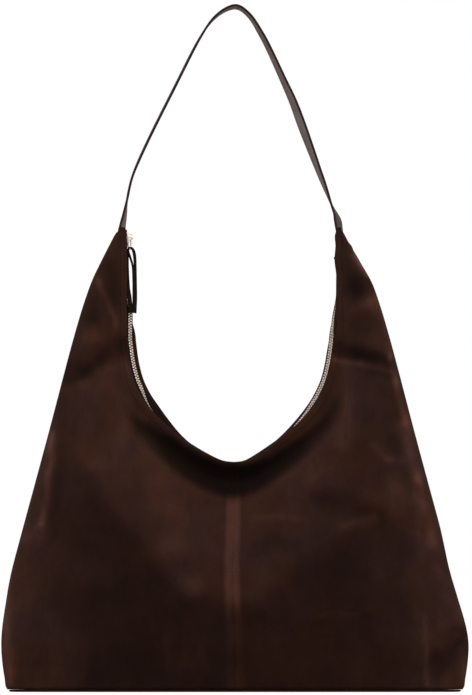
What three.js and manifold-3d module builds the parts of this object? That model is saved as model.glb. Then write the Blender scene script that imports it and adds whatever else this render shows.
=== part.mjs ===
// A large slouchy hobo bag: four suede panels joined at a front and a back centre seam and two side
// seams, a flat base, a deep U-shaped opening closed by a metal zip, and one leather shoulder strap
// sewn into the two peaks. Inside: a lining, a slip pocket, suede facings round the opening and a
// stiff board in the base.
// Millimetres. +Z is up, the front faces -Y, and +X is to the right when looking at the front.
// The origin is the middle of the base's underside.
import * as THREE from "three";
import { mergeVertices } from "three/addons/utils/BufferGeometryUtils.js";
import Module from "manifold-3d";

const wasm = await Module();
wasm.setup();

// ---------- Driving dimensions ----------
const PEAK_Z = 461; // top of the two peaks, above the floor
const RIM_LOW_Z = 230; // lowest point of the opening
const RIM_HALF_WIDTH = 103; // half the width between the opening's straight flanks
const RIM_STRAIGHT_Z = 352; // the flanks are straight and upright above this height
const LEAN_X = -4.5; // the body sags this far to the left of its base
const LEAN_FROM_Z = 40;
const LEAN_TO_Z = 130;
const LIP_DEPTH = 9; // half the depth at the edge of the opening
const SWELL_SHARE = 0.6; // the lip reaches the full depth this far towards the side seam
const FLAT_FROM_Z = 130; // the front and back are flattened between the flanks above this height

const SUEDE = 1.8; // thickness of the outer suede
const LINING = 0.7;
const POCKET_ROOM = 1.6; // between the lining and the slip pocket on it
const POCKET_HALF_WIDTH = 95;
const POCKET_LOW_Z = 70;
const POCKET_TOP_Z = 180;
const LINING_INSET = 4.6; // the lining hangs this far inside the body's outer surface
const GAP = 0.35; // room left between neighbouring pieces
const SEAM_GAP = 0.25; // half the room left along a seam

const BASE_THICKNESS = 2;
const BOARD_THICKNESS = 1.4;
const BOARD_INSET = 8;

const FACING_TOP = 7; // the facing starts this far below the edge of the opening
const FACING_END = 24; // and ends this far below it, where the lining takes over
const FACING_THICKNESS = 1.2;
const FACING_INSET = 4.3; // from the body's outer surface to the facing
const FACING_PEAK_Z = 395; // the facing and the lining stop here, below the narrow peaks

const CHAIN_RISE = -1.5; // the zip chain lies this far below the edge of the opening
const TOOTH_HALF_THICKNESS = 1.3;
const TOOTH_IN_Y = 0.5; // a row of teeth runs from here
const TOOTH_OUT_Y = 3.0; // to here, on each side of the middle plane
const TAPE_HALF_THICKNESS = 0.35;
const TAPE_TURN_Y = 5.6; // half the width between the tape's two folds
const TAPE_INSET = 2.9; // from the body's outer surface to the turned part of the tape
const FLANGE = 9; // how far below the edge of the opening the tape reaches
const FLANGE_NARROW = 1.8; // and how far below the chain where it is trimmed
const FLANGE_NARROW_Z = 422; // above this height the tape is trimmed to clear the strap's end
const ZIP_TOP_Z = 457.3; // closed end, in the left peak
const ZIP_END_Z = 430; // open end, in the right peak
const STOP_LENGTH = 2;

const SLIDER_Z = 451.5;
const SLIDER_HALF_LENGTH = 5.5;
const SLIDER_HALF_WIDTH = 4.6;
const PLATE_IN = 1.9; // a slider plate's faces, from the middle of the chain
const PLATE_OUT = 3;
const FLANGE_IN = 0.8;
const FLANGE_WIDTH = 0.9;
const LUG_RADIUS = 3.4;
const LUG_HALF_WIDTH = 1.2;
const PIVOT_RISE = 4.7; // the bail's pivot, from the middle of the chain
const PIVOT_BORE = 0.95;
const BAIL_WIRE = 0.65;
const BAIL_LENGTH = 11;

const THONG_LENGTH = 64; // below the bail's lower bar
const THONG_HALF_WIDTH = 2.9;
const THONG_HALF_THICKNESS = 0.6;
const THONG_BEND = 1.7; // radius of the fold round the bail's lower bar

const STRAP_HALF_WIDTH = 10;
const STRAP_LAYER = 1.1;
const STRAP_GLUE = 0.2; // room between the two layers
const STRAP_END_X = 109.4; // from the body's middle to the strap, in each peak
const STRAP_ROOT_Z = 435; // lower end of the sewn-in strap ends
const STRAP_EDGE_Z = 461.6; // their upper corners
const STRAP_APEX_Z = 467.2; // and the middle of their upper edge
const STRAP_PIVOT_Z = 480; // the strap folds to the front or the back about this height, on a round end

// ---------- Colours ----------
const MATERIALS = {
  suede: new THREE.MeshStandardMaterial({ color: 0x3f2519, roughness: 0.95 }),
  strap: new THREE.MeshStandardMaterial({ color: 0x3a2624, roughness: 0.45 }),
  lining: new THREE.MeshStandardMaterial({ color: 0x4a382c, roughness: 0.85 }),
  board: new THREE.MeshStandardMaterial({ color: 0x8a7a66, roughness: 0.9 }),
  tape: new THREE.MeshStandardMaterial({ color: 0x2a1a14, roughness: 0.8 }),
  teeth: new THREE.MeshStandardMaterial({ color: 0xc9b79c, roughness: 0.4, metalness: 1 }),
  gold: new THREE.MeshStandardMaterial({ color: 0xe2c79a, roughness: 0.25, metalness: 1 }),
};

// ---------- Curves of the body ----------
const curveThrough = (points) => new THREE.SplineCurve(points.map(([x, z]) => new THREE.Vector2(x, z)));

// The side outline, as half the body's width against height.
const OUTLINE = curveThrough([
  [221, 0],
  [228, 9],
  [232.5, 50],
  [224.5, 95],
  [210.5, 151],
  [184, 251],
  [158, 351],
  [143, 400],
  [131, 427],
  [113.5, PEAK_Z],
]);

// The curved lower part of the opening's edge, from its lowest point to where a flank becomes straight.
const RIM = curveThrough([
  [0, RIM_LOW_Z],
  [15, 232.5],
  [37, 246],
  [60, 264],
  [80, 284],
  [93, 306],
  [99.5, 328],
  [RIM_HALF_WIDTH, RIM_STRAIGHT_Z],
]);

// Half-depth of the body away from the opening, and how square a level section is, each as
// [height, value].
const FULL_DEPTH = [
  [0, 59],
  [45, 64],
  [95, 62],
  [150, 56],
  [200, 49],
  [300, 35],
  [400, 22],
  [PEAK_Z, 18.5],
];
const SQUARENESS = [
  [0, 5],
  [60, 3.6],
  [200, 2.6],
  [400, 2.6],
  [PEAK_Z, 3.5],
];

const clamp01 = (t) => Math.min(1, Math.max(0, t));
const smoothstep = (a, b, t) => {
  const s = clamp01((t - a) / (b - a));
  return s * s * (3 - 2 * s);
};
const lean = (z) => LEAN_X * smoothstep(LEAN_FROM_Z, LEAN_TO_Z, z);

// The value at t in a short list of [position, value] pairs, along straight lines between them.
function valueAt(list, t) {
  if (t <= list[0][0]) return list[0][1];
  for (let i = 1; i < list.length; i++) {
    const [a, va] = list[i - 1];
    const [b, vb] = list[i];
    if (t <= b) return va + ((vb - va) * (t - a)) / (b - a);
  }
  return list[list.length - 1][1];
}

// Reads a rising curve as half-width against height.
function widthReader(curve) {
  const samples = curve.getPoints(600);
  return (z) => {
    if (z <= samples[0].y) return samples[0].x;
    for (let i = 1; i < samples.length; i++) {
      const a = samples[i - 1];
      const b = samples[i];
      if (z <= b.y) return a.x + ((b.x - a.x) * (z - a.y)) / Math.max(b.y - a.y, 1e-6);
    }
    return samples[samples.length - 1].x;
  };
}
const outlineX = widthReader(OUTLINE);

// Distance from the edge of the opening, on the right-hand half.
const EDGE_POINTS = [...RIM.getPoints(40), new THREE.Vector2(RIM_HALF_WIDTH, PEAK_Z + 50)];
function edgeDistance(x, z) {
  const p = new THREE.Vector2(x, z);
  let best = Infinity;
  for (let i = 1; i < EDGE_POINTS.length; i++) {
    const a = EDGE_POINTS[i - 1];
    const run = EDGE_POINTS[i].clone().sub(a);
    const t = clamp01(p.clone().sub(a).dot(run) / run.lengthSq());
    best = Math.min(best, p.distanceTo(run.multiplyScalar(t).add(a)));
  }
  return best;
}

// Half-depth of the body at x from its middle and height z: a lip at the edge of the opening that
// swells to the full depth, and closes to nothing at the side seam.
function depth(x, z) {
  const across = Math.abs(x);
  const flat = RIM_HALF_WIDTH * smoothstep(FLAT_FROM_Z, RIM_STRAIGHT_Z, z);
  const width = outlineX(z) - flat;
  const n = valueAt(SQUARENESS, z);
  const side = Math.pow(1 - Math.pow(clamp01((across - flat) / width), n), 1 / n);
  const swell = Math.sin((Math.PI / 2) * clamp01(edgeDistance(across, z) / (SWELL_SHARE * width)));
  return side * (LIP_DEPTH + (valueAt(FULL_DEPTH, z) - LIP_DEPTH) * swell);
}

// A point on the outer surface, moved inwards by inset. face is -1 for the front, +1 for the back.
function bodyPoint(x, z, face, inset = 0) {
  const e = 0.6;
  const slopeX = (depth(x + e, z) - depth(x - e, z)) / (2 * e);
  const slopeZ = (depth(x, z + e) - depth(x, z - e)) / (2 * e);
  const normal = new THREE.Vector3(-slopeX, 1, -slopeZ).normalize();
  const p = new THREE.Vector3(x, depth(x, z), z).addScaledVector(normal, -inset);
  return new THREE.Vector3(p.x + lean(p.z), face * Math.max(p.y, SEAM_GAP), p.z);
}

// ---------- Closed sheets ----------
// A sheet is a net of points with an outer and an inner position each. Grids that share points
// join, and the net is closed with a wall along every open edge.
class Sheet {
  constructor() {
    this.points = [];
    this.index = new Map();
    this.faces = [];
  }
  point({ outer, inner }) {
    const key = outer.toArray().concat(inner.toArray()).map((v) => Math.round(v * 100)).join();
    if (!this.index.has(key)) {
      this.index.set(key, this.points.length);
      this.points.push({ outer, inner });
    }
    return this.index.get(key);
  }
  // rows is a list of equally long lists of { outer, inner }; flip turns the faces round.
  grid(rows, flip = false) {
    const id = rows.map((row) => row.map((p) => this.point(p)));
    for (let r = 1; r < id.length; r++) {
      for (let c = 1; c < id[r].length; c++) {
        const [a, b, d, e] = [id[r - 1][c - 1], id[r - 1][c], id[r][c], id[r][c - 1]];
        const pair = flip ? [[a, d, b], [a, e, d]] : [[a, b, d], [a, d, e]];
        pair.forEach((f) => new Set(f).size === 3 && this.faces.push(f));
      }
    }
    return this;
  }
  geometry() {
    const n = this.points.length;
    const used = new Set();
    this.faces.forEach(([a, b, c]) => [[a, b], [b, c], [c, a]].forEach(([p, q]) => used.add(`${p},${q}`)));
    const triangles = [];
    this.faces.forEach(([a, b, c]) => {
      triangles.push(a, b, c, n + a, n + c, n + b);
      [[a, b], [b, c], [c, a]].forEach(([p, q]) => {
        if (!used.has(`${q},${p}`)) triangles.push(q, p, n + p, q, n + p, n + q);
      });
    });
    const places = [...this.points.map((p) => p.outer), ...this.points.map((p) => p.inner)];
    return closed(places, triangles);
  }
}

// A geometry from points and triangle indices, with its faces pointing outwards.
function closed(places, triangles) {
  let volume = 0;
  for (let i = 0; i < triangles.length; i += 3) {
    const [a, b, c] = [0, 1, 2].map((k) => places[triangles[i + k]]);
    volume += a.dot(new THREE.Vector3().crossVectors(b, c)) / 6;
  }
  if (volume < 0) {
    for (let i = 0; i < triangles.length; i += 3) {
      [triangles[i + 1], triangles[i + 2]] = [triangles[i + 2], triangles[i + 1]];
    }
  }
  const positions = places.flatMap((p) => p.toArray());
  return new THREE.BufferGeometry()
    .setAttribute("position", new THREE.Float32BufferAttribute(positions, 3))
    .setIndex(triangles);
}

const range = (n) => Array.from({ length: n + 1 }, (_, i) => i / n);

// ---------- Stations along the opening's edge ----------
// Each station has its place (x, z) on the right-hand half and n, the direction in the XZ plane
// that points into the opening.
const RIM_SEGMENTS = 10;
const CURVED_STATIONS = range(RIM_SEGMENTS).map((t) => {
  const p = RIM.getPointAt(t);
  const along = RIM.getTangentAt(t);
  const n = t === 0 ? new THREE.Vector2(0, 1) : new THREE.Vector2(-along.y, along.x);
  return { x: p.x, z: p.y, n: t === 1 ? new THREE.Vector2(-1, 0) : n };
});
const straightStation = (z) => ({ x: RIM_HALF_WIDTH, z, n: new THREE.Vector2(-1, 0) });

// The whole edge from the left peak to the right one. The straight flanks have stations at the
// rising heights in leftZ and rightZ.
function edgeStations(leftZ, rightZ) {
  const mirror = ({ x, z, n }) => ({ x: -x, z, n: new THREE.Vector2(-n.x, n.y) });
  const left = [...CURVED_STATIONS.slice(1), ...leftZ.map(straightStation)].reverse().map(mirror);
  return [...left, ...CURVED_STATIONS, ...rightZ.map(straightStation)];
}

// A point by a station: rise into the opening, and y.
const besideEdge = (s, rise, y) =>
  new THREE.Vector3(s.x + s.n.x * rise + lean(s.z + s.n.y * rise), y, s.z + s.n.y * rise);

// ---------- Outer panels and lining ----------
const OUTER_Z_AT_RIM_LOW = 200; // where the row through the opening's lowest point meets the outline

// Rows of [inner point, outline point] from the base to the peak, on the right-hand half.
function panelRows(bottomZ, edge) {
  const lowZ = edge[0].z;
  const lower = range(8).slice(0, -1).map((t) => {
    const rise = Math.pow(t, 1.5);
    return [{ x: 0, z: bottomZ + (lowZ - bottomZ) * rise }, bottomZ + (OUTER_Z_AT_RIM_LOW - bottomZ) * rise];
  });
  const topZ = edge[edge.length - 1].z;
  let along = 0;
  const run = edge.map((p, i) => {
    if (i) along += Math.hypot(p.x - edge[i - 1].x, p.z - edge[i - 1].z);
    return along;
  });
  const upper = edge.map((p, i) => [p, OUTER_Z_AT_RIM_LOW + ((topZ - OUTER_Z_AT_RIM_LOW) * run[i]) / along]);
  return [...lower, ...upper].map(([inner, z]) => [inner, { x: outlineX(z), z }]);
}

// A net over one half of the front or back, side -1 left or +1 right.
function halfNet(rows, side, face, outerInset, innerInset, seamGap) {
  const columns = range(9).map((u) => 0.5 - 0.5 * Math.cos(Math.PI * u));
  return rows.map(([a, b]) =>
    columns.map((m) => {
      const x = side * Math.max(a.x + (b.x - a.x) * m, seamGap);
      const z = a.z + (b.z - a.z) * m;
      return { outer: bodyPoint(x, z, face, outerInset), inner: bodyPoint(x, z, face, innerInset) };
    }),
  );
}

const PANEL_BOTTOM_Z = BASE_THICKNESS + GAP;
const PANEL_EDGE = [...CURVED_STATIONS, straightStation(403), straightStation(PEAK_Z)];

function outerPanel(side, face) {
  const rows = panelRows(PANEL_BOTTOM_Z, PANEL_EDGE);
  return new Sheet().grid(halfNet(rows, side, face, 0, SUEDE, SEAM_GAP)).geometry();
}

const LINING_EDGE = [...CURVED_STATIONS, straightStation(FACING_PEAK_Z)].map((s) => ({
  x: s.x - s.n.x * (FACING_END + GAP),
  z: s.z - s.n.y * (FACING_END + GAP),
}));
const LINING_BASE_Z = BASE_THICKNESS + GAP + BOARD_THICKNESS + GAP;
const LINING_BOTTOM_Z = LINING_BASE_Z + LINING + GAP;

function lining(face) {
  const rows = panelRows(LINING_BOTTOM_Z, LINING_EDGE);
  const half = (side) => halfNet(rows, side, face, LINING_INSET, LINING_INSET + LINING, 0);
  return new Sheet().grid(half(-1)).grid(half(1), true).geometry();
}

// A slip pocket on the back lining.
function pocket() {
  const inset = LINING_INSET + LINING + POCKET_ROOM;
  const rows = range(6).map((t) => {
    const z = POCKET_LOW_Z + (POCKET_TOP_Z - POCKET_LOW_Z) * t;
    return range(12).map((s) => {
      const x = POCKET_HALF_WIDTH * (2 * s - 1);
      return { outer: bodyPoint(x, z, 1, inset), inner: bodyPoint(x, z, 1, inset + LINING) };
    });
  });
  return new Sheet().grid(rows).geometry();
}

// ---------- Base ----------
// A flat plate with the body's own outline at the base, drawn in by inset.
function basePlate(bottomZ, thickness, inset) {
  const w = outlineX(1) - inset;
  const d = valueAt(FULL_DEPTH, 0) - inset;
  const power = 2 / valueAt(SQUARENESS, 0);
  const outline = range(56).slice(0, -1).map((t) => {
    const [c, s] = [Math.cos(2 * Math.PI * t), Math.sin(2 * Math.PI * t)];
    return new THREE.Vector2(
      w * Math.sign(c) * Math.pow(Math.abs(c), power),
      d * Math.sign(s) * Math.pow(Math.abs(s), power),
    );
  });
  const options = { depth: thickness, bevelEnabled: false };
  return new THREE.ExtrudeGeometry(new THREE.Shape(outline), options).translate(0, 0, bottomZ);
}

// ---------- Zip and facings ----------
// A suede strip inside the edge of the opening.
function facing(face) {
  const inset = FACING_INSET;
  const rows = edgeStations([FACING_PEAK_Z], [FACING_PEAK_Z]).map((s) =>
    range(3).map((t) => {
      const q = FACING_TOP + (FACING_END - FACING_TOP) * t;
      const [x, z] = [s.x - s.n.x * q, s.z - s.n.y * q];
      return { outer: bodyPoint(x, z, face, inset), inner: bodyPoint(x, z, face, inset + FACING_THICKNESS) };
    }),
  );
  return new Sheet().grid(rows).geometry();
}

// Half of the zip's tape: flat beside the teeth, then turned down inside the edge of the opening.
function zipTape(face) {
  const rows = edgeStations([390, FLANGE_NARROW_Z, PEAK_Z - 1], [390, ZIP_END_Z]).map((s) => {
    const web = (y, rise, t) => besideEdge(s, rise + t, face * y);
    const turned = (t) => bodyPoint(s.x - s.n.x * FLANGE, s.z - s.n.y * FLANGE, face, TAPE_INSET + t);
    const trimmed = (t) => web(TAPE_TURN_Y - t, CHAIN_RISE - FLANGE_NARROW, 0);
    const end = s.z < FLANGE_NARROW_Z ? turned : trimmed;
    const t = TAPE_HALF_THICKNESS;
    return [
      { outer: web(TOOTH_OUT_Y + 0.3, CHAIN_RISE, t), inner: web(TOOTH_OUT_Y + 0.3, CHAIN_RISE, -t) },
      { outer: web(TAPE_TURN_Y, CHAIN_RISE, t), inner: web(TAPE_TURN_Y - t, CHAIN_RISE, -t) },
      { outer: end(0), inner: end(2 * t) },
    ];
  });
  return new Sheet().grid(rows).geometry();
}

// A bar beside the edge of the opening with the section of a row of teeth.
function toothBar(stations, face) {
  const at = (s, y, up) => besideEdge(s, CHAIN_RISE + up * TOOTH_HALF_THICKNESS, face * y);
  const rows = stations.map((s) =>
    [TOOTH_IN_Y, TOOTH_OUT_Y].map((y) => ({ outer: at(s, y, 1), inner: at(s, y, -1) })),
  );
  return new Sheet().grid(rows).geometry();
}

// A short run of the straight flank, for a stop.
const flankRun = (side, fromZ, toZ) =>
  [fromZ, toZ].map((z) => ({ x: side * RIM_HALF_WIDTH, z, n: new THREE.Vector2(-side, 0) }));

function bottomStop() {
  const box = new THREE.BoxGeometry(2 * TOOTH_HALF_THICKNESS, 2 * TOOTH_OUT_Y, STOP_LENGTH);
  const x = RIM_HALF_WIDTH - CHAIN_RISE + LEAN_X;
  return box.translate(x, 0, ZIP_END_Z + GAP + STOP_LENGTH / 2);
}

// ---------- Slider and pull ----------
function solid(geometry) {
  const bare = geometry.clone();
  bare.deleteAttribute("normal");
  bare.deleteAttribute("uv");
  const merged = mergeVertices(bare, 1e-4);
  return new wasm.Manifold(
    new wasm.Mesh({
      numProp: 3,
      vertProperties: new Float32Array(merged.attributes.position.array),
      triVerts: new Uint32Array(merged.index.array),
    }),
  );
}

function fromSolid(manifold) {
  const mesh = manifold.getMesh();
  return new THREE.BufferGeometry()
    .setAttribute("position", new THREE.BufferAttribute(mesh.vertProperties, 3))
    .setIndex(new THREE.BufferAttribute(mesh.triVerts, 1));
}

// A box between two corners.
function block(x0, x1, y0, y1, z0, z1) {
  const box = new THREE.BoxGeometry(x1 - x0, y1 - y0, z1 - z0);
  return solid(box.translate((x0 + x1) / 2, (y0 + y1) / 2, (z0 + z1) / 2));
}

// The slider, about the middle of the chain; local +X is the side the pull is on.
function slider() {
  const [l, w] = [SLIDER_HALF_LENGTH, SLIDER_HALF_WIDTH];
  const post = block(-PLATE_OUT, PLATE_OUT, -SEAM_GAP, SEAM_GAP, l - 3, l);
  const lugDisc = solid(new THREE.CylinderGeometry(LUG_RADIUS, LUG_RADIUS, 2 * LUG_HALF_WIDTH, 28));
  const lugRoom = block(PLATE_OUT - 0.2, PLATE_OUT + LUG_RADIUS, -w, w, -l, l);
  const bore = solid(new THREE.CylinderGeometry(PIVOT_BORE, PIVOT_BORE, 4 * LUG_HALF_WIDTH, 20));
  const lug = lugDisc.translate([PLATE_OUT, 0, 0]).intersect(lugRoom);
  let body = post.add(lug).subtract(bore.translate([PIVOT_RISE, 0, 0]));
  [-1, 1].forEach((side) => {
    const [a, b] = [side * PLATE_IN, side * PLATE_OUT].sort((p, q) => p - q);
    body = body.add(block(a, b, -w, w, -l, l));
    const [c, d] = [side * FLANGE_IN, side * (PLATE_IN + 0.1)].sort((p, q) => p - q);
    body = body.add(block(c, d, -w, -w + FLANGE_WIDTH, -l, l));
    body = body.add(block(c, d, w - FLANGE_WIDTH, w, -l, l));
  });
  return fromSolid(body);
}

// A round wire bent into a closed loop that widens downwards, hung from its top bar.
function bail() {
  const upper = [[1.4, 0], [2.3, -0.1], [2.9, -0.9]];
  const lower = [[3.4, -5], [3.95, -9.8], [3.2, -BAIL_LENGTH], [1.6, -BAIL_LENGTH]];
  const half = [...upper, ...lower];
  const left = half.map(([y, z]) => new THREE.Vector3(0, -y, z)).reverse();
  const path = new THREE.CatmullRomCurve3(
    [...half.map(([y, z]) => new THREE.Vector3(0, y, z)), ...left],
    true,
    "chordal",
  );
  const [segments, sides] = [36, 8];
  const places = [];
  const triangles = [];
  for (let i = 0; i < segments; i++) {
    const p = path.getPointAt(i / segments);
    const tangent = path.getTangentAt(i / segments);
    const across = new THREE.Vector3(1, 0, 0);
    const inPlane = new THREE.Vector3().crossVectors(tangent, across);
    for (let k = 0; k < sides; k++) {
      const a = (2 * Math.PI * k) / sides;
      const [u, v] = [BAIL_WIRE * Math.cos(a), BAIL_WIRE * Math.sin(a)];
      places.push(p.clone().addScaledVector(across, u).addScaledVector(inPlane, v));
      const [next, turn] = [((i + 1) % segments) * sides, (k + 1) % sides];
      const [q, r, s, t] = [i * sides + k, i * sides + turn, next + turn, next + k];
      triangles.push(q, r, s, q, s, t);
    }
  }
  return closed(places, triangles);
}

// A leather strip folded over the bail's lower bar, with two hanging tails.
function thong() {
  const fold = range(8).map((t) => {
    const a = Math.PI * (1 - t);
    return new THREE.Vector2(THONG_BEND * Math.cos(a), THONG_BEND * Math.sin(a));
  });
  const tail = (...places) => places.map(([x, z]) => new THREE.Vector2(x, z));
  const left = tail([-1.3, -THONG_LENGTH], [-1.6, -22]);
  const right = tail([2.6, -16], [3.4, -38], [3.2, -THONG_LENGTH]);
  const path = [...left, ...fold, ...right];
  const rows = path.map((p, i) => {
    const along = path[Math.min(i + 1, path.length - 1)].clone().sub(path[Math.max(i - 1, 0)]).normalize();
    const side = new THREE.Vector2(-along.y, along.x).multiplyScalar(THONG_HALF_THICKNESS);
    return [-1, 1].map((y) => ({
      outer: new THREE.Vector3(p.x + side.x, y * THONG_HALF_WIDTH, p.y + side.y),
      inner: new THREE.Vector3(p.x - side.x, y * THONG_HALF_WIDTH, p.y - side.y),
    }));
  });
  return new Sheet().grid(rows).geometry();
}

// ---------- Strap ----------
const STRAP_PATH = new THREE.CatmullRomCurve3(
  [
    [-112, STRAP_PIVOT_Z - STRAP_HALF_WIDTH],
    [-109.6, STRAP_PIVOT_Z + 2],
    [-103.2, 511],
    [-95.4, 531],
    [-81.4, 561],
    [-60, 604],
    [-36.5, 650.5],
    [-20, 674],
    [-0.5, 684.5],
    [14, 676],
    [26, 657.5],
    [35, 640],
    [55, 596],
    [72, 551],
    [83, 521],
    [97, STRAP_PIVOT_Z + 2],
    [101.5, STRAP_PIVOT_Z - STRAP_HALF_WIDTH],
  ].map(([x, z]) => new THREE.Vector3(x, 0, z)),
);

// How far the strap's width turns out of the Y direction, in degrees, along its length.
const STRAP_TWIST = [
  [0, 8],
  [0.05, -2],
  [0.12, -4],
  [0.3, -6.5],
  [0.42, -5],
  [0.5, 1],
  [0.6, 8],
  [0.72, 12],
  [0.8, 17],
  [0.88, 12],
  [0.94, 3],
  [1, -10],
];

// Places along the strap: close together over the two round ends, even in between.
const STRAP_END_RUN = 0.02;
const ROUND_END = [0.03, 0.12, 0.3, 0.6].map((t) => t * STRAP_END_RUN);
const STRAP_PLACES = [
  ...ROUND_END,
  ...range(38).map((t) => STRAP_END_RUN + (1 - 2 * STRAP_END_RUN) * t),
  ...ROUND_END.map((t) => 1 - t).reverse(),
];

// One layer of the strap, between two offsets outwards from its middle.
function strapLayer(from, to) {
  const rows = STRAP_PLACES.map((t) => {
    const p = STRAP_PATH.getPointAt(t);
    const below = Math.min(STRAP_HALF_WIDTH, Math.max(0, STRAP_PIVOT_Z - p.z));
    const halfWidth = Math.sqrt(STRAP_HALF_WIDTH ** 2 - below ** 2);
    const along = STRAP_PATH.getTangentAt(t);
    const out = new THREE.Vector3(-along.z, 0, along.x);
    const turn = THREE.MathUtils.degToRad(valueAt(STRAP_TWIST, t));
    const across = new THREE.Vector3(0, -Math.cos(turn), 0).addScaledVector(out, Math.sin(turn));
    const face = new THREE.Vector3().crossVectors(along, across).normalize();
    if (face.dot(out) < 0) face.negate();
    return [-1, 1].map((side) => {
      const edge = p.clone().addScaledVector(across, side * halfWidth);
      const at = (offset) => edge.clone().addScaledVector(face, offset);
      return { outer: at(to), inner: at(from) };
    });
  });
  return new Sheet().grid(rows).geometry();
}

// The end of the strap that is sewn into a peak, with a pointed top under the swinging strap.
function strapEnd(side) {
  const w = STRAP_HALF_WIDTH;
  const root = [[-w, STRAP_ROOT_Z], [w, STRAP_ROOT_Z]];
  const top = [[w, STRAP_EDGE_Z], [0, STRAP_APEX_Z], [-w, STRAP_EDGE_Z]];
  const outline = [...root, ...top];
  const thickness = 2 * STRAP_LAYER + STRAP_GLUE;
  const shape = new THREE.Shape(outline.map(([y, z]) => new THREE.Vector2(y, z)));
  const plate = new THREE.ExtrudeGeometry(shape, { depth: thickness, bevelEnabled: false });
  plate.translate(0, 0, -thickness / 2).rotateX(Math.PI / 2).rotateZ(Math.PI / 2);
  return plate.translate(side * STRAP_END_X + LEAN_X, 0, 0);
}

// ---------- Assembly ----------
const bag = new THREE.Group();

function add(name, geometry, material, parent = bag) {
  const mesh = new THREE.Mesh(geometry, material);
  mesh.name = name;
  parent.add(mesh);
  return mesh;
}

const FACES = [["front", -1], ["back", 1]];
FACES.forEach(([word, face]) => {
  [["left", -1], ["right", 1]].forEach(([sideWord, side]) => {
    add(`${word}_panel_${sideWord}`, outerPanel(side, face), MATERIALS.suede);
  });
  add(`lining_${word}`, lining(face), MATERIALS.lining);
  add(`rim_facing_${word}`, facing(face), MATERIALS.suede);
  add(`zip_tape_${word}`, zipTape(face), MATERIALS.tape);
  add(`zip_teeth_${word}`, toothBar(edgeStations([ZIP_TOP_Z], [ZIP_END_Z]), face), MATERIALS.teeth);
  const stop = flankRun(-1, ZIP_TOP_Z + GAP, ZIP_TOP_Z + GAP + STOP_LENGTH);
  add(`zip_top_stop_${word}`, toothBar(stop, face), MATERIALS.gold);
});
add("zip_bottom_stop", bottomStop(), MATERIALS.gold);
add("inner_pocket", pocket(), MATERIALS.lining);

add("base_panel", basePlate(0, BASE_THICKNESS, 0), MATERIALS.suede);
add("base_board", basePlate(BASE_THICKNESS + GAP, BOARD_THICKNESS, BOARD_INSET), MATERIALS.board);
add("lining_base", basePlate(LINING_BASE_Z, LINING, LINING_INSET + GAP), MATERIALS.lining);

// The slider carries the bail, and the bail carries the thong.
const sliderGroup = new THREE.Group();
sliderGroup.position.set(LEAN_X - RIM_HALF_WIDTH + CHAIN_RISE, 0, SLIDER_Z);
add("zip_slider", slider(), MATERIALS.gold, sliderGroup);
const bailGroup = new THREE.Group();
bailGroup.position.x = PIVOT_RISE;
add("zip_pull_bail", bail(), MATERIALS.gold, bailGroup);
add("zip_pull_thong", thong(), MATERIALS.strap, bailGroup).position.z = -BAIL_LENGTH;
sliderGroup.add(bailGroup);
bag.add(sliderGroup);

add("strap_end_left", strapEnd(-1), MATERIALS.strap);
add("strap_end_right", strapEnd(1), MATERIALS.strap);
add("strap_outer_layer", strapLayer(STRAP_GLUE / 2, STRAP_GLUE / 2 + STRAP_LAYER), MATERIALS.strap);
add("strap_backing_layer", strapLayer(-STRAP_GLUE / 2 - STRAP_LAYER, -STRAP_GLUE / 2), MATERIALS.strap);

export default bag;
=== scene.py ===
import math

import bmesh
import bpy
import numpy as np
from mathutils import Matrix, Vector, noise


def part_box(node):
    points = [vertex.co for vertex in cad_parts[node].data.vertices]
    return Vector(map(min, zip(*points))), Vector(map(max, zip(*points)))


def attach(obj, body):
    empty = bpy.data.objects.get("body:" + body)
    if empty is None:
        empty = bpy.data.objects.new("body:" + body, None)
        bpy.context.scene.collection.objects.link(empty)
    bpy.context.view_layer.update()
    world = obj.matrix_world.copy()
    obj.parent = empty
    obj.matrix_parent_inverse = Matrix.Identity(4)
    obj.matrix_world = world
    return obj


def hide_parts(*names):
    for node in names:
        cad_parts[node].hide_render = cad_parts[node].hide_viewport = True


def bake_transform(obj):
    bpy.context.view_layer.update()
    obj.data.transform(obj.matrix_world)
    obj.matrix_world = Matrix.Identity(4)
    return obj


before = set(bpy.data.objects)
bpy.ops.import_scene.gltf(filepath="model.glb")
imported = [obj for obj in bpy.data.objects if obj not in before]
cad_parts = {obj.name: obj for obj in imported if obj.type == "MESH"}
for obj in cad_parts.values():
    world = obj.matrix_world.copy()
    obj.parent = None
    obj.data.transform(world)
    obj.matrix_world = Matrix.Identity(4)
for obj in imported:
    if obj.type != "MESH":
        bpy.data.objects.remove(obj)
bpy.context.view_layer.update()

# Looks of the suede hobo bag. Shapes are worked out in millimetres, in the CAD's frame (+Z up, the
# front faces -Y), and scaled to metres when a mesh is made. "Middle" is the body's own middle line,
# which leans a little to the left above the base.

MM = 0.001
FRONT = -1
BACK = 1

# ---------- Sizes ----------
PEAK_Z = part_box("front_panel_left")[1].z / MM
BASE_TOP_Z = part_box("base_panel")[1].z / MM
BASE_HALF_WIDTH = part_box("base_panel")[1].x / MM
BASE_HALF_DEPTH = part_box("base_panel")[1].y / MM
ZIP_TOP_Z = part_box("zip_teeth_front")[1].z / MM
ZIP_END_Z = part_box("zip_bottom_stop")[0].z / MM
RIM_LOW_Z = 230.0
RIM_HALF_WIDTH = 103.0
RIM_STRAIGHT_Z = 352.0
LEAN_X = -4.5
LEAN_Z = (40.0, 130.0)
LIP_DEPTH = 9.0
SWELL_SHARE = 0.6
FLAT_FROM_Z = 130.0

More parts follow.
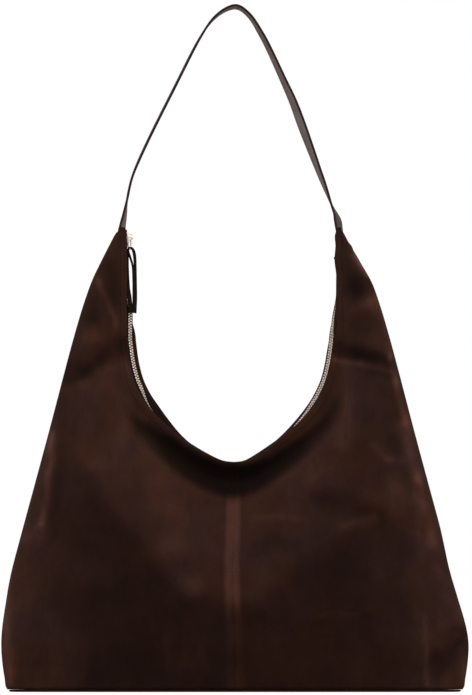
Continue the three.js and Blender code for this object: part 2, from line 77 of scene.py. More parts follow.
SUEDE_THICKNESS = 1.5
ROLL_RADIUS = 2.2  # of the rolled edge of the opening
FACING_REACH = 22.0  # how far the rolled-in suede reaches below the edge
LINING_INSET = 5.0
LINING_TOP_Z = 395.0
LINING_THICKNESS = 0.7
POCKET_INSET = 7.2
POCKET_HALF_WIDTH = 95.0
POCKET_Z = (70.0, 178.0)
POCKET_THICKNESS = 0.9
BASE_SHEET = 0.9  # the base's suede, which lies flat under the board
TAPE_THICKNESS = 0.5
SEAM_BAND = 8.2  # half the width of the band over the centre seam that is painted lighter, as painted light
SEAM_ROW_X = 4.1  # from the centre seam to a row of its stitches
EDGE_ROW_DEPTH = 6.5  # from the opening's edge to its row of stitches

TOOTH_PITCH = 2.7
CHAIN_RECESS = 1.5  # the chain lies this far below the edge in the upper flanks
CHAIN_SHOW = 2.3  # and this far above it where it turns towards the viewer
CHAIN_TILT = math.radians(38)
SHOW_TOP_Z = {-1: 394.0, 1: 388.0}  # the chain starts to show below these heights, left and right
SHOW_FULL_Z = {-1: 376.0, 1: 350.0}
SHOW_END_Z = {-1: 290.0, 1: 272.0}
BACK_RISE = {-1: 8.6, 1: 6.2}  # how far the back edge stands above the front edge at the sides
BACK_TOP_Z = {-1: 390.0, 1: 400.0}  # it starts to rise below these heights
BACK_FULL_Z = {-1: 352.0, 1: 334.0}

NECK_LENGTH = 7.0  # the peaks are gathered round the strap over this height
PEAK_NARROWING = {-1: 0.0, 1: 0.26}  # extra share of the way in to the strap, left and right
STRAP_HALF_WIDTH = 10.0
STRAP_LAYER = 1.05
STRAP_X = {-1: -113.0, 1: 105.0}

# ---------- Curves of the body ----------


def spline(points, count=600):
    """Points along a Catmull-Rom curve."""
    p = np.array(points, float)
    last = len(p) - 1
    t = np.linspace(0, last, count)
    i = np.minimum(t.astype(int), last - 1)
    w = (t - i)[:, None]
    before, a, b, after = p[np.maximum(i - 1, 0)], p[i], p[i + 1], p[np.minimum(i + 2, last)]
    va, vb = (b - before) / 2, (after - a) / 2
    return (2 * a - 2 * b + va + vb) * w**3 + (3 * b - 3 * a - 2 * va - vb) * w**2 + va * w + a


OUTLINE = spline([
    (221, 0), (228, 9), (232.5, 50), (224.5, 95), (210.5, 151), (184, 251), (158, 351), (143, 400),
    (131, 427), (113.5, 461),
])
RIM = spline([
    (0, RIM_LOW_Z), (15, 232.5), (37, 246), (60, 264), (80, 284), (93, 306), (99.5, 328),
    (RIM_HALF_WIDTH, RIM_STRAIGHT_Z),
])
RIM_LINE = np.vstack([RIM[::10], RIM[-1:], [(RIM_HALF_WIDTH, PEAK_Z + 60)]])
FULL_DEPTH = np.array([
    (0, 59), (45, 64), (95, 62), (150, 56), (200, 49), (300, 35), (400, 22), (461, 18.5),
])
SQUARENESS = np.array([(0, 5), (60, 3.6), (200, 2.6), (400, 2.6), (461, 3.5)])


def table(points, z):
    return np.interp(z, points[:, 0], points[:, 1])


def smoothstep(a, b, t):
    s = np.clip((t - a) / (b - a), 0, 1)
    return s * s * (3 - 2 * s)


def bell(t, middle, width):
    """1 at the middle, falling away smoothly over about the width."""
    return np.exp(-(((t - middle) / width) ** 2))


def outline_x(z):
    return np.interp(z, OUTLINE[:, 1], OUTLINE[:, 0])


def lean(z):
    return LEAN_X * smoothstep(*LEAN_Z, z)


def settle(x, z):
    """How far the body stands sideways of its middle: it leans, its right half hangs a little wider
    with a slack right edge, and the low part of the opening lies a little to the right."""
    wider = 2.4 * smoothstep(20, 90, x) * smoothstep(110, 170, z) * smoothstep(458, 430, z)
    slack = 1.8 * bell(x, 98, 24) * smoothstep(396, 374, z) * smoothstep(262, 300, z)
    low = 4.5 * bell(x, -12, 24) * smoothstep(60, 190, z)
    return lean(z) + wider - slack + low


def droop(x, z):
    """How far the low part of the opening hangs below its place, with the suede under it."""
    return 2.6 * smoothstep(150, 105, np.abs(x)) * smoothstep(60, 160, z) * smoothstep(400, 330, z)


def segment_distance(x, z, a, b):
    """Distance from points to the segment from a to b, and how far along it the nearest place is."""
    run = np.subtract(b, a)
    t = np.clip(((x - a[0]) * run[0] + (z - a[1]) * run[1]) / (run @ run), 0, 1)
    return np.hypot(x - a[0] - t * run[0], z - a[1] - t * run[1]), t


def edge_distance(x, z):
    """Distance from the edge of the opening, in the plane of the front."""
    across = np.abs(x)
    parts = [segment_distance(across, z, a, b)[0] for a, b in zip(RIM_LINE[:-1], RIM_LINE[1:])]
    return np.min(parts, axis=0)


def body_depth(x, z):
    """Half-depth of the smooth body at x from its middle: a lip that swells, closed at the sides."""
    across = np.abs(x)
    flat = RIM_HALF_WIDTH * smoothstep(FLAT_FROM_Z, RIM_STRAIGHT_Z, z)
    width = outline_x(z) - flat
    n = table(SQUARENESS, z)
    side = (1 - np.clip((across - flat) / width, 0, 1) ** n) ** (1 / n)
    swell = np.sin(math.pi / 2 * np.clip(edge_distance(x, z) / (SWELL_SHARE * width), 0, 1))
    return side * (LIP_DEPTH + (table(FULL_DEPTH, z) - LIP_DEPTH) * swell)


# ---------- Folds in the suede ----------
# Soft folds, each as the ends of its line (x from the middle, z), its half-width and its height.
FRONT_FOLDS = [
    ((-180, 246), (-190, 160), 4.5, 3.4),  # crease where the left side turns back
    ((-163, 262), (-176, 225), 10, 1.6),
    ((-163, 321), (-112, 345), 7, -2.6),  # folds across the left peak
    ((-160, 304), (-108, 326), 8, 1.8),
    ((-150, 374), (-118, 346), 6, -1.6),
    ((-130, 404), (-114, 368), 4, 1.8),
    ((-124, 418), (-112, 396), 7, -2.0),
    ((152, 326), (106, 338), 7, -2.8),  # folds across the right peak
    ((106, 328), (154, 316), 5, 2.2),
    ((122, 388), (142, 372), 8, 2.2),
    ((130, 412), (112, 400), 7, -2.2),
    ((166, 284), (182, 214), 9, 2.4),  # rounded right side
    ((182, 214), (208, 110), 9, 2.0),
    ((184, 72), (184, 4), 3.5, 2.0),  # creases by the lower right corner
    ((192, 66), (192, 8), 6, -1.8),
    ((200, 50), (230, 62), 6, -2.4),
    ((80, 72), (134, 84), 2.5, 0.8),
    ((-206, 100), (-176, 30), 9, -2.0),
    ((-216, 130), (-198, 60), 8, 1.8),
    ((-120, 60), (-60, 40), 16, -1.6),
    ((40, 52), (130, 30), 16, -1.6),
    ((-100, 196), (-66, 152), 9, -1.2),
    ((84, 190), (120, 176), 9, -1.2),
]
BACK_FOLDS = [
    ((-160, 200), (-40, 100), 20, 3.0),
    ((150, 230), (50, 96), 22, 3.0),
    ((-150, 330), (-106, 352), 9, -2.4),
    ((-156, 306), (-108, 330), 9, 2.2),
    ((112, 356), (150, 330), 8, -2.4),
    ((116, 384), (140, 400), 7, 2.2),
    ((176, 210), (204, 90), 10, 2.2),
    ((-176, 200), (-210, 80), 9, 2.2),
    ((-192, 70), (-190, 6), 5, -2.0),
    ((60, 60), (140, 34), 15, -2.2),
    ((-110, 50), (-40, 44), 15, -2.0),
]


# The suede hangs from the opening in a broad swag; below this line (x, z) it falls back.
SWAG = np.array([
    (-175, 250), (-152, 224), (-118, 178), (-85, 141), (-48, 98), (-20, 84), (20, 82), (52, 108),
    (98, 141), (138, 164), (165, 190),
])
SWAG_RISE = 4.5

# Where the nap is brushed lighter or darker, and where light and shade on the folds is painted: x, z,
# half-width, half-height, and how much.
NAP_AND_PAINTED_LIGHT_PATCHES = [
    (-84, 228, 22, 14, 0.34), (-70, 206, 20, 13, 0.42), (-76, 176, 22, 20, 0.26),
    (-58, 144, 22, 13, 0.42), (-42, 103, 15, 11, 0.75), (-114, 238, 18, 14, 0.16),
    (-104, 262, 9, 16, 0.34), (-134, 222, 13, 8, 0.26), (-82, 245, 14, 10, 0.34),
    (-34, 138, 22, 10, 0.14), (70, 214, 18, 16, 0.24), (114, 290, 7, 34, 0.46), (106, 250, 12, 20, 0.22),
    (30, 90, 12, 10, 0.26), (47, 106, 12, 9, 0.24), (63, 160, 13, 12, 0.2), (162, 198, 14, 14, 0.46),
    (100, 188, 22, 10, -0.44), (134, 178, 14, 8, -0.5), (38, 148, 18, 12, -0.34),
    (-176, 190, 12, 40, -0.22), (-140, 150, 34, 40, -0.16), (-110, 100, 46, 26, -0.22),
    (-64, 75, 20, 11, -0.24), (15, 58, 10, 14, -0.26), (120, 80, 56, 34, -0.18),
    (120, 48, 20, 14, -0.18), (-20, 36, 150, 34, -0.08), (-114, 22, 12, 8, 0.22),
    (136, 252, 14, 30, -0.2), (160, 264, 11, 28, -0.26), (-212, 110, 12, 44, 0.18),
    (-121, 396, 9, 24, -0.46), (-137, 382, 8, 14, -0.42), (-143, 350, 13, 12, 0.26),
    (-112, 398, 6, 20, -0.14), (124, 406, 11, 13, -0.72), (138, 386, 10, 8, 0.34),
    (120, 436, 5, 10, 0.2), (146, 300, 14, 16, 0.1), (128, 370, 18, 12, -0.16), (226, 76, 6, 12, 0.42),
    (160, 177, 9, 10, 0.4), (122, 398, 11, 9, -0.42), (130, 358, 16, 9, -0.25), (132, 330, 20, 7, -0.25),
    (163, 325, 6, 14, 0.42), (128, 428, 9, 14, 0.28), (143, 379, 8, 8, 0.22), (122, 241, 18, 14, -0.26),
    (160, 245, 11, 11, -0.28), (90, 191, 15, 9, -0.25), (130, 176, 20, 7, -0.22),
    (152, 295, 12, 12, -0.2), (-137, 369, 13, 10, -0.28), (-122, 421, 8, 10, -0.28),
    (-115, 389, 8, 12, -0.25), (-187, 152, 10, 9, 0.28), (-177, 240, 7, 26, 0.26),
    (-38, 94, 10, 6, 0.22), (-18, 118, 12, 14, 0.2), (-105, 89, 22, 16, -0.14), (-64, 78, 20, 12, -0.15),
    (229, 74, 5, 10, 0.25), (-226, 61, 5, 18, 0.3), (21, 64, 8, 14, -0.18), (-101, 316, 6, 14, 0.25),
    (165, 322, 5, 14, 0.3), (131, 418, 7, 12, 0.3), (139, 381, 7, 8, 0.2), (121, 396, 9, 9, -0.3),
    (131, 330, 16, 5, -0.3), (139, 208, 9, 14, -0.25), (69, 231, 8, 10, -0.2), (-139, 368, 12, 8, -0.25),
    (-134, 315, 14, 8, -0.22), (-115, 388, 6, 14, -0.2), (86, 191, 12, 10, -0.12),
]

# And in narrower strokes, brushed nap together with painted light and shade: painted highlights along
# creases and lit edges, painted shade in folds. The ends of the stroke, its half-width, and how much.
NAP_AND_PAINTED_LIGHT_STROKES = [
    ((-176, 254), (-185, 165), 4.2, 0.85), ((-192, 226), (-206, 150), 5, 0.24),
    ((-165, 240), (-175, 150), 5, -0.25), ((-200, 150), (-190, 158), 7, 0.34),
    ((-226, 110), (-221, 8), 6, 0.6), ((157, 330), (172, 262), 4.5, 0.6),
    ((168, 262), (182, 211), 8, 0.75), ((182, 211), (197, 150), 8, 0.62),
    ((197, 150), (213, 92), 8, 0.4), ((180, 190), (188, 130), 6, 0.36), ((154, 336), (164, 300), 5, 0.3),
    ((144, 400), (158, 330), 4, 0.42), ((-131, 408), (-113, 362), 3.2, 0.6),
    ((-161, 311), (-106, 342), 9, -0.95), ((-161, 300), (-106, 322), 6, 0.34),
    ((120, 434), (134, 414), 4, 0.9), ((106, 343), (157, 321), 9, -0.9),
    ((103, 329), (126, 323), 2.8, 0.62), ((126, 323), (156, 316), 3, 0.5),
    ((120, 380), (146, 391), 5, 0.3), ((139, 243), (152, 228), 5, 0.42),
    ((152, 228), (166, 229), 4, 0.34), ((106, 161), (139, 170), 4, 0.36),
    ((20, 170), (66, 171), 4, 0.24), ((80, 71), (136, 81), 2.2, 0.34), ((187, 72), (188, 8), 3, 0.55),
    ((197, 28), (228, 56), 12, -0.85), ((223, 40), (226, 12), 4, 0.45), ((-66, 50), (-64, 20), 3, 0.24),
    ((-34, 46), (-30, 28), 3, 0.24), ((-155, 230), (-120, 190), 5, -0.12),
]


def fractal(x, z, size, seed, octaves=3):
    """Smooth repeatable noise over a surface, about -1 to 1."""
    total = np.zeros(x.size)
    for k in range(octaves):
        scale = 2**k / size
        level = seed + 7.3 * k
        values = [noise.noise((a * scale, b * scale, level)) for a, b in zip(x.flat, z.flat)]
        total += np.array(values) / 2**k
    return total.reshape(x.shape)


def relief(x, z, face):
    """How far the suede stands out of the smooth body."""
    s = edge_distance(x, z)
    room = outline_x(z) - np.abs(x)
    folds = np.zeros(x.shape)
    for a, b, width, height in FRONT_FOLDS if face == FRONT else BACK_FOLDS:
        distance, _ = segment_distance(x, z, a, b)
        folds += height * bell(distance, 0, width)
    seed = 3.0 if face == FRONT else 11.0
    folds += 2.6 * fractal(x, z, 70, seed, 2) + 0.6 * fractal(x, z, 19, seed + 40, 3)
    folds *= smoothstep(0, 14, s) * smoothstep(0, 10, room) * smoothstep(0, 12, z)
    # The opening's edge rolls forward over a hollow that follows it.
    low = edge_roll_share(x, z)
    hollow = 2.2 * bell(s, 0, 6) - 8.0 * bell(s, 17, 9.5)
    swag = SWAG_RISE * swag_share(x, z) * smoothstep(0, 40, s) * smoothstep(4, 46, room)
    # The centre seam is drawn in a little, with a welt on each side of it.
    across = np.abs(x)
    seam = smoothstep(RIM_LOW_Z + 2, RIM_LOW_Z - 8, z)
    welt = 0.9 * bell(across, 3.8, 3.2) - 0.35 * bell(across, 0, 0.9)
    pucker = 0.22 * np.sin(z * 2 * math.pi / 3.1) * bell(across, 4, 2.6)
    return folds + swag + low * hollow + seam * (welt + pucker)


def edge_roll_share(x, z):
    """1 along the low part of the opening, 0 up its sides."""
    top = np.where(x < 0, smoothstep(338, 296, z), smoothstep(365, 305, z))
    return smoothstep(120, 92, np.abs(x)) * top


def swag_share(x, z):
    """1 above the swag's lower line, 0 below it."""
    line_z = np.interp(x, SWAG[:, 0], SWAG[:, 1])
    sides = smoothstep(190, 140, np.abs(x))
    return smoothstep(-17, 17, z - line_z) * sides


# ---------- Meshes ----------


def net_faces(rows, columns, start=0, wrap=False):
    """Quads of a net whose points run along the columns first."""
    across = columns if wrap else columns - 1
    faces = []
    for r in range(rows - 1):
        for c in range(across):
            a = start + r * columns + c
            b = start + r * columns + (c + 1) % columns
            faces.append((a, b, b + columns, a + columns))
    return faces


def make_piece(name, points, faces, material, merge=0.0):
    """A smooth-shaded mesh object from points in millimetres."""
    mesh = bpy.data.meshes.new(name)
    mesh.from_pydata([tuple(p) for p in np.asarray(points, float) * MM], [], faces)
    if merge:
        bm = bmesh.new()
        bm.from_mesh(mesh)
        bmesh.ops.remove_doubles(bm, verts=bm.verts, dist=merge * MM)
        bm.to_mesh(mesh)
        bm.free()
    mesh.polygons.foreach_set("use_smooth", [True] * len(mesh.polygons))
    mesh.materials.append(material)
    piece = bpy.data.objects.new(name, mesh)
    bpy.context.scene.collection.objects.link(piece)
    return piece


def face_outwards(piece):
    bm = bmesh.new()
    bm.from_mesh(piece.data)
    bmesh.ops.recalc_face_normals(bm, faces=bm.faces)
    bm.to_mesh(piece.data)
    bm.free()
    return piece


def thicken(piece, thickness, offset=0.0):
    """Gives a sheet its thickness: evenly, or all inwards for an offset of -1."""
    add_modifier(piece, "SOLIDIFY", thickness=thickness * MM, offset=offset)
    return piece


def take_place(piece, slot, body, *nodes):
    """Puts a piece on a body, in place of CAD nodes. The slot is not used."""
    if nodes:
        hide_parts(*nodes)
    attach(piece, body)


def unit(directions):
    return directions / np.linalg.norm(directions, axis=1)[:, None]


def closed_tube(rings, size, start=0):
    """Faces of a net of rings of this size, with a face over each end."""
    faces = net_faces(rings, size, start, wrap=True)
    faces.append(tuple(range(start, start + size))[::-1])
    faces.append(tuple(range(start + (rings - 1) * size, start + rings * size)))
    return faces


def swept(points, across, up, profile):
    """Points and faces of a profile carried along a line, with closed ends."""
    rings = [p + u * a + v * b for p, a, b in zip(points, across, up) for u, v in profile]
    return np.array(rings), closed_tube(len(points), len(profile))


def mesh_parts(bm):
    """The points and faces of a bmesh, which is freed."""
    points = np.array([v.co[:] for v in bm.verts])
    faces = [tuple(v.index for v in f.verts) for f in bm.faces]
    bm.free()
    return points, faces


def rounded_profile(half_width, half_height, radius, steps=3):
    """A rounded rectangle as a list of (u, v)."""
    corners = [(1, 1, 0), (-1, 1, 90), (-1, -1, 180), (1, -1, 270)]
    profile = []
    for sx, sy, start in corners:
        for k in range(steps + 1):
            a = math.radians(start + 90 * k / steps)
            profile.append((
                sx * (half_width - radius) + radius * math.cos(a),
                sy * (half_height - radius) + radius * math.sin(a),
            ))
    return profile


def add_modifier(piece, kind, **settings):
    modifier = piece.modifiers.new(kind.lower(), kind)
    for key, value in settings.items():
        setattr(modifier, key, value)
    return modifier


# ---------- Materials ----------


def feed(tree, socket, value):
    """Links a socket to another one, or gives it a value; a colour may leave out its alpha."""
    if isinstance(value, bpy.types.NodeSocket):
        tree.links.new(value, socket)
    elif socket.type == "RGBA" and len(value) == 3:
        socket.default_value = (*value, 1)
    else:
        socket.default_value = value


class Shader:
    """A small helper that builds a node material."""

    def __init__(self, name, roughness, metallic=0.0):
        self.material = bpy.data.materials.new(name)
        self.material.use_nodes = True
        self.tree = self.material.node_tree
        self.surface = self.tree.nodes["Principled BSDF"]
        self.set(Roughness=roughness, Metallic=metallic)
        self.place = self.add("ShaderNodeTexCoord").outputs["Object"]

    def add(self, kind, **inputs):
        node = self.tree.nodes.new(kind)
        for key, value in inputs.items():
            feed(self.tree, node.inputs[key.replace("_", " ")], value)
        return node

    def noise(self, scale, detail=3.0, roughness=0.55, distortion=0.0, stretch=(1, 1, 1)):
        moved = self.add("ShaderNodeMapping", Vector=self.place, Scale=stretch).outputs[0]
        node = self.add("ShaderNodeTexNoise", Vector=moved, Scale=scale, Detail=detail,
                        Roughness=roughness, Distortion=distortion)
        return node.outputs["Fac"]

    def ramp(self, value, stops):
        """A colour ramp; stops are (position, colour or grey)."""
        node = self.add("ShaderNodeValToRGB", Fac=value)
        elements = node.color_ramp.elements
        while len(elements) < len(stops):
            elements.new(0.5)
        for element, (position, colour) in zip(elements, stops):
            element.position = position
            grey = isinstance(colour, (int, float))
            element.color = (colour, colour, colour, 1) if grey else (*colour, 1)
        return node.outputs["Color"]

    def wave(self, direction, scale, distortion):
        node = self.add("ShaderNodeTexWave", Vector=self.place, Scale=scale, Distortion=distortion)
        node.bands_direction = direction
        return node.outputs["Fac"]

    def times(self, a, b):
        return self.mix(1.0, a, b, "MULTIPLY")

    def mix(self, factor, a, b, blend="MIX"):
        node = self.add("ShaderNodeMix")
        node.data_type = "RGBA"
        node.blend_type = blend
        for place, value in ((0, factor), (6, a), (7, b)):
            feed(self.tree, node.inputs[place], value)
        return node.outputs[2]

    def math(self, operation, a, b=0.0):
        node = self.add("ShaderNodeMath")
        node.operation = operation
        for socket, value in zip(node.inputs, (a, b)):
            feed(self.tree, socket, value)
        return node.outputs[0]

    def attribute(self, name):
        node = self.add("ShaderNodeAttribute")
        node.attribute_name = name
        return node.outputs["Fac"]

    def set(self, **inputs):
        for key, value in inputs.items():
            feed(self.tree, self.surface.inputs[key.replace("_", " ")], value)

    def bump(self, height, distance, strength=1.0):
        node = self.add("ShaderNodeBump", Height=height, Distance=distance, Strength=strength)
        self.set(Normal=node.outputs["Normal"])


def suede_material():
    """Dark brown suede: brushed nap in patches, a fine grain, and a soft bloom at grazing angles. Its
    colour is multiplied by the nap attribute, which holds nap tone and painted light and shade.
    """
    shader = Shader("suede_dark_brown", 0.95)
    patches = shader.noise(13, 5, 0.55, 0.3, (1, 1, 0.8))
    strokes = shader.noise(70, 4, 0.6, 0.6, (1, 1, 0.5))
    grain = shader.noise(1500, 2, 0.6)
    base = shader.ramp(patches, [(0.3, (0.0205, 0.0088, 0.0069)), (0.5, (0.0275, 0.0112, 0.0079)),
                                 (0.72, (0.038, 0.0147, 0.0092))])
    brushed = shader.ramp(strokes, [(0.3, 0.86), (0.7, 1.12)])
    speckle = shader.ramp(grain, [(0.3, 0.82), (0.7, 1.2)])
    clouds = shader.noise(19, 3, 0.6)
    warmth = shader.ramp(clouds, [(0.38, (0.95, 1.0, 1.16)), (0.62, (1.06, 0.99, 0.88))])
    colour = shader.times(shader.times(shader.times(base, brushed), speckle), warmth)
    # Multiplies in the painted light and shade together with the nap tone.
    colour = shader.times(colour, shader.attribute("nap"))
    shader.set(Base_Color=colour, Specular_IOR_Level=0.03, Sheen_Weight=0.05, Sheen_Roughness=0.55,
               Sheen_Tint=(0.75, 0.45, 0.33))
    nap = shader.math("ADD", shader.math("MULTIPLY", strokes, 0.6), shader.math("MULTIPLY", grain, 0.4))
    shader.bump(nap, 0.0004, 0.6)
    return shader.material


def leather_material(name, dark, light, roughness, gloss):
    """Smooth leather with a fine pebbled grain."""
    shader = Shader(f"leather_{name}", roughness)
    cells = shader.add("ShaderNodeTexVoronoi", Vector=shader.place, Scale=1400.0)
    tone = shader.noise(45, 4)
    colour = shader.ramp(tone, [(0.3, dark), (0.7, light)])
    rough = shader.ramp(shader.noise(220, 3), [(0.35, roughness - 0.08), (0.7, roughness + 0.12)])
    shader.set(Base_Color=colour, Roughness=rough, Specular_IOR_Level=gloss)
    shader.bump(cells.outputs["Distance"], 0.0001, 0.2)
    return shader.material


def metal_material(name, colour, roughness, metallic=1.0):
    """Plated metal with faint scratches and a little unevenness."""
    shader = Shader(name, roughness, metallic)
    scratches = shader.noise(300, 3, 0.6, 0.0, (1, 1, 9))
    cloud = shader.noise(120, 3)
    dull = tuple(0.85 * c for c in colour)
    shader.set(Base_Color=shader.ramp(cloud, [(0.3, dull), (0.65, colour)]),
               Roughness=shader.ramp(scratches, [(0.35, roughness - 0.06), (0.7, roughness + 0.14)]))
    shader.bump(scratches, 0.00005, 0.25)
    return shader.material


def woven_material(name, dark, light, threads, sheen):
    """A plain weave: two sets of threads, threads per metre."""
    shader = Shader(name, 0.85)
    weave = shader.math("MAXIMUM", shader.wave("X", threads, 0.4), shader.wave("Z", threads, 0.4))
    colour = shader.mix(weave, dark, light)
    shader.set(Base_Color=colour, Sheen_Weight=sheen, Specular_IOR_Level=0.04)
    shader.bump(weave, 0.0002, 0.6)
    return shader.material


def thread_material():
    """Twisted polyester thread, multiplied by the nap attribute: the suede's nap tone and painted light and
    shade at its place.
    """
    shader = Shader("thread_brown", 0.6)
    twist = shader.wave("DIAGONAL", 900.0, 0.2)
    colour = shader.mix(twist, (0.024, 0.0105, 0.0075), (0.042, 0.018, 0.012))
    shader.set(Base_Color=shader.times(colour, shader.attribute("nap")), Specular_IOR_Level=0.08)
    shader.bump(twist, 0.0001, 0.5)
    return shader.material


def board_material():
    """Pressed grey-brown stiffening board."""
    shader = Shader("board_pressed_fibre", 0.9)
    fibres = shader.noise(160, 5, 0.7, 1.0)
    shader.set(Base_Color=shader.ramp(fibres, [(0.3, (0.16, 0.12, 0.085)), (0.7, (0.3, 0.24, 0.18))]))
    shader.bump(fibres, 0.0002, 0.4)
    return shader.material


SUEDE = suede_material()
STRAP_LEATHER = leather_material("strap", (0.03, 0.015, 0.013), (0.05, 0.027, 0.023), 0.45, 0.35)
BACKING_LEATHER = leather_material("strap_backing", (0.13, 0.09, 0.086), (0.19, 0.135, 0.128), 0.55, 0.15)
EDGE_PAINT = leather_material("edge_paint", (0.013, 0.0055, 0.005), (0.02, 0.009, 0.008), 0.65, 0.15)
PULL_LEATHER = leather_material("pull", (0.007, 0.003, 0.0025), (0.012, 0.0055, 0.004), 0.75, 0.05)
CHAIN_METAL = metal_material("metal_antique_gold", (0.9, 0.79, 0.67), 0.42)
GOLD_METAL = metal_material("metal_light_gold", (0.99, 0.89, 0.79), 0.42, 0.5)
STOP_METAL = metal_material("metal_dark_brass", (0.2, 0.125, 0.085), 0.5)
TAPE_CLOTH = woven_material("cloth_zip_tape", (0.014, 0.006, 0.0045), (0.03, 0.013, 0.009), 900.0, 0.0)
LINING_CLOTH = woven_material("cloth_lining", (0.05, 0.034, 0.025), (0.1, 0.072, 0.055), 1100.0, 0.2)
THREAD = thread_material()
BOARD = board_material()

# ---------- Panels ----------
ROWS_BELOW = 74
ROWS_BESIDE = 92
COLUMNS = 84
OUTER_Z_AT_RIM_LOW = 200.0
PANEL_BOTTOM_Z = BASE_TOP_Z + 0.4


def edge_run(count, top_z, inset=0.0):
    """Places along the right half of the opening's edge, moved below it by inset, and the direction
    into the opening at each."""
    line = np.vstack([RIM, [(RIM_HALF_WIDTH, top_z)]])
    along = np.concatenate([[0], np.cumsum(np.hypot(*np.diff(line, axis=0).T))])
    share = np.linspace(0, along[-1], count)
    place = np.column_stack([np.interp(share, along, line[:, k]) for k in (0, 1)])
    step = unit(np.gradient(place, axis=0))
    inwards = np.column_stack([-step[:, 1], step[:, 0]])
    inwards[0] = (0, 1)
    return place - inwards * inset, inwards, share / along[-1]


def half_places(rows_below, rows_beside, columns, bottom_z, top_z, edge_inset):
    """x and z of a net over the right half of the front: rows from the base to the peak, columns
    from the seam or the opening's edge to the side."""
    inner, inwards, share = edge_run(rows_beside, top_z, edge_inset)
    rise = np.linspace(0, 1, rows_below, endpoint=False)
    inner_z = bottom_z + (inner[0, 1] - bottom_z) * rise
    outer_z = bottom_z + (OUTER_Z_AT_RIM_LOW - bottom_z) * rise
    upper_z = OUTER_Z_AT_RIM_LOW + (top_z - OUTER_Z_AT_RIM_LOW) * share
    inner_all = np.vstack([np.column_stack([0 * rise, inner_z]), inner])
    outer_all_z = np.concatenate([outer_z, upper_z])
    outer_all = np.column_stack([outline_x(outer_all_z), outer_all_z])
    m = (0.5 - 0.5 * np.cos(math.pi * np.linspace(0, 1, columns)))[None, :, None]
    places = inner_all[:, None, :] * (1 - m) + outer_all[:, None, :] * m
    return places[..., 0], places[..., 1], inwards


def neck_in(x, y, z, side):
    """Gathers the top of a peak round the strap that comes out of it."""
    t = smoothstep(PEAK_Z - NECK_LENGTH, PEAK_Z, z)
    share = 0.55 * t + PEAK_NARROWING[side] * smoothstep(400, PEAK_Z, z)
    strap_x = STRAP_X[side] - lean(z)
    return x + (strap_x - x) * share, y * (1 - 0.25 * t)


def skin_depth(x, z, face):
    return np.maximum(body_depth(x, z) + relief(x, z, face), 0.0)


def back_lift(z, side):
    """How far the back's edge stands above the front's."""
    up = smoothstep(BACK_TOP_Z[side], BACK_FULL_Z[side], z) * smoothstep(240, 285, z)
    return BACK_RISE[side] * up


def edge_wave(z, side):
    """How far the front's edge waves sideways, away from the zip's chain where it is positive on the
    right and negative on the left."""
    if side < 0:
        return -1.5 * bell(z, 298, 24)
    return 2.6 * bell(z, 366, 10) - 1.7 * bell(z, 324, 24) - 2.6 * bell(z, 430, 12)


def hang(x, z, side, face, into, proud=0.0):
    """Places on the suede for points of the flat front or back; into points into the opening."""
    y = skin_depth(x, z, face) + proud
    if face == BACK:
        lift = back_lift(z, side) * bell(edge_distance(x, z), 0, 34)
        x, z = x + side * into[..., 0] * lift, z + into[..., 1] * lift
    x, y = neck_in(x, y, z, side)
    if face == FRONT:
        x = x + edge_wave(z, side) * bell(edge_distance(x, z), 0, 12)
    return np.stack([x + settle(x, z), face * y, z - droop(x, z)], axis=-1)


def rolled_edge(edge, inwards, x, z, face):
    """The suede past the edge of the opening: over it in a half circle, then down the inside."""
    inside = np.array([0, -face, 0])
    strip = []
    for a in np.linspace(0, math.pi, 8):
        over = inwards * math.sin(a) + inside * (1 - math.cos(a))
        strip.append(edge + ROLL_RADIUS * over)
    narrow = 1 - 0.8 * smoothstep(PEAK_Z - 20, PEAK_Z, z)
    reach = np.minimum(FACING_REACH, 0.8 * (outline_x(z) - x) * narrow)[:, None]
    for share in np.linspace(0.15, 1, 6):
        q = share * reach
        strip.append(edge - inwards * q + inside * (2 * ROLL_RADIUS - 0.12 * q))
    return np.array(strip).transpose(1, 0, 2)


def outer_panel(name, side, face):
    x, z, inwards = half_places(ROWS_BELOW, ROWS_BESIDE, COLUMNS, PANEL_BOTTOM_Z, PEAK_Z, ROLL_RADIUS)
    # The side seam pulls the suede in a little.
    tuck = 1.6 * bell(outline_x(z) - x, 0, 1.8) * smoothstep(0, 14, z)
    x = side * np.maximum(x, 0.01)
    into = np.zeros(x.shape + (2,))
    into[ROWS_BELOW:] = inwards[:, None]
    places = hang(x, z, side, face, into)
    places[..., 0] -= side * tuck
    rows, columns = x.shape
    points = places.reshape(-1, 3)
    faces = net_faces(rows, columns)
    inwards = np.column_stack([side * inwards[:, 0], 0 * inwards[:, 0], inwards[:, 1]])
    edge_x, edge_z = np.abs(x[ROWS_BELOW:, 0]), z[ROWS_BELOW:, 0]
    strip = rolled_edge(places[ROWS_BELOW:, 0], inwards, edge_x, edge_z, face)
    faces += [f[::-1] for f in net_faces(*strip.shape[:2], len(points))]
    points = np.vstack([points, strip.reshape(-1, 3)])
    if side * face < 0:
        faces = [f[::-1] for f in faces]
    piece = make_piece(name, points, faces, SUEDE, merge=0.02)
    face_outwards_from(piece, face)
    paint_nap_tone_and_light(piece, face)
    return thicken(piece, SUEDE_THICKNESS, -1.0)


def face_outwards_from(piece, face):
    """Turns the mesh so that its largest face towards the front or back points out."""
    mesh = piece.data
    total = sum(p.normal.y * p.area for p in mesh.polygons if abs(p.center.y) > 0.02)
    if total * face < 0:
        mesh.flip_normals()


